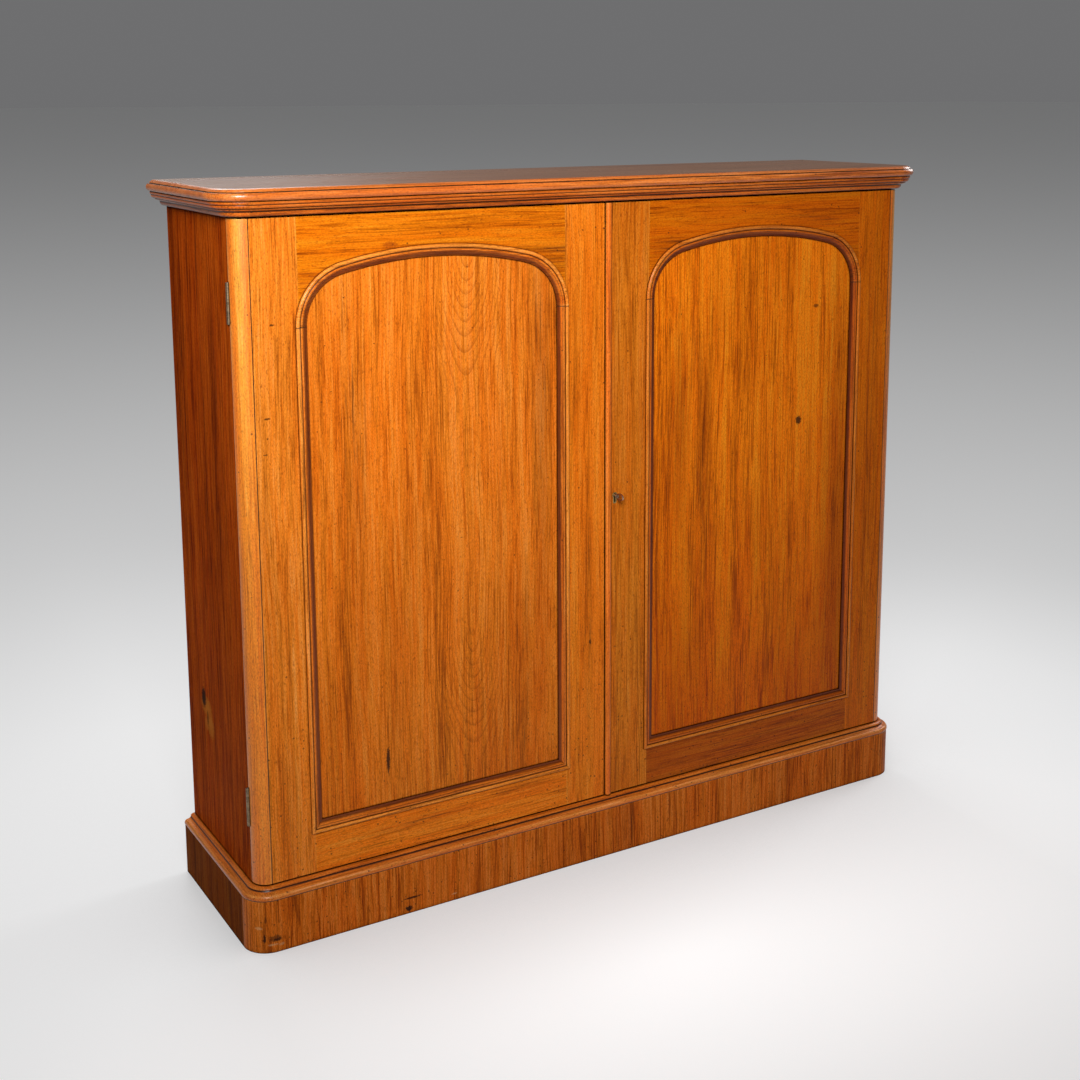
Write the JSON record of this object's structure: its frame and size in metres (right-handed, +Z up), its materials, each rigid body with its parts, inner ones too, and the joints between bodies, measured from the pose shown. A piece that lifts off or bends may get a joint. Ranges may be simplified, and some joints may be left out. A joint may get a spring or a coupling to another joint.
{
  "type": "enclosed bookcase",
  "caption": "Low wide wooden bookcase closed by a pair of arched panel doors, with rounded corners, moulded top and plinth, shelves on pegs inside and a lock with a key.",
  "frame": {"origin": "middle of the underside of the whole cabinet's box, on the floor", "axes": "+Z up, -Y the way the doors face, +X to the right seen from the front"},
  "size_m": [1.388, 0.351, 1.22],
  "materials": {
    "mahogany": "french polish",
    "panel_wood": "french polish",
    "moulding_wood": "french polish",
    "plinth_veneer": "french polish",
    "carcass_wood": "waxed",
    "brass": "aged",
    "steel": "worn"
  },
  "bodies": {
    "carcass": {"plinth_front": "plinth_veneer", "plinth_back": "carcass_wood", "right_plinth_side": "plinth_veneer", "left_plinth_side": "plinth_veneer", "right_plinth_corner": "plinth_veneer", "left_plinth_corner": "plinth_veneer", "plinth_moulding_front": "moulding_wood", "right_plinth_moulding": "moulding_wood", "left_plinth_moulding": "moulding_wood", "top_board": "mahogany", "cornice_front": "moulding_wood", "right_cornice": "moulding_wood", "left_cornice": "moulding_wood", "right_side": "mahogany", "left_side": "mahogany", "bottom_board": "carcass_wood", "top_front_rail": "carcass_wood", "top_back_rail": "carcass_wood", "back_board_1": "carcass_wood", "back_board_2": "carcass_wood", "back_board_3": "carcass_wood", "back_board_4": "carcass_wood", "shelf_1": "carcass_wood", "shelf_2": "carcass_wood", "shelf_3": "carcass_wood", "shelf_pegs": "brass", "hinge_carcass_leaves": "brass", "hinge_pins": "steel"},
    "left_door": {"left_hinge_door_leaves": "brass", "left_corner_strip": "mahogany", "left_hanging_stile": "mahogany", "left_meeting_stile": "mahogany", "left_top_rail": "mahogany", "left_bottom_rail": "mahogany", "left_panel": "panel_wood", "left_moulding_arch": "moulding_wood", "left_moulding_hinge_side": "moulding_wood", "left_moulding_meeting_side": "moulding_wood", "left_moulding_bottom": "moulding_wood", "strike_plate": "brass", "flush_bolt_plates": "brass"},
    "right_door": {"right_hinge_door_leaves": "brass", "right_corner_strip": "mahogany", "right_hanging_stile": "mahogany", "right_meeting_stile": "mahogany", "right_top_rail": "mahogany", "right_bottom_rail": "mahogany", "right_panel": "panel_wood", "right_moulding_arch": "moulding_wood", "right_moulding_hinge_side": "moulding_wood", "right_moulding_meeting_side": "moulding_wood", "right_moulding_bottom": "moulding_wood", "astragal": "moulding_wood", "lock_case": "brass", "escutcheon": "brass"},
    "key": {"key": "steel"},
    "lock_bolt": {"lock_bolt": "steel"},
    "flush_bolt_top": {"flush_bolt_top": "steel"},
    "flush_bolt_bottom": {"flush_bolt_bottom": "steel"}
  },
  "joints": [
    {"name": "left_door_swing", "type": "hinge", "parent": "carcass", "child": "left_door", "pos_m": [-0.662, -0.117, 0.61], "axis": [0, 0, -1], "range_deg": [0, 175]},
    {"name": "right_door_swing", "type": "hinge", "parent": "carcass", "child": "right_door", "pos_m": [0.662, -0.117, 0.61], "axis": [0, 0, 1], "range_deg": [0, 175]},
    {"name": "key_turn", "type": "hinge", "parent": "right_door", "child": "key", "pos_m": [0.015, -0.1425, 0.663], "axis": [0, -1, 0], "range_deg": [0, 180]},
    {"name": "lock_bolt_throw", "type": "slide", "parent": "right_door", "child": "lock_bolt", "axis": [-1, 0, 0], "range_m": [0, 0.008]},
    {"name": "flush_bolt_top_slide", "type": "slide", "parent": "left_door", "child": "flush_bolt_top", "axis": [0, 0, 1], "range_m": [0, 0.012]},
    {"name": "flush_bolt_bottom_slide", "type": "slide", "parent": "left_door", "child": "flush_bolt_bottom", "axis": [0, 0, -1], "range_m": [0, 0.012]}
  ],
  "couplings": [
    {"joint": "key_turn", "follows": "lock_bolt_throw", "rad_per_m": 392.7}
  ]
}
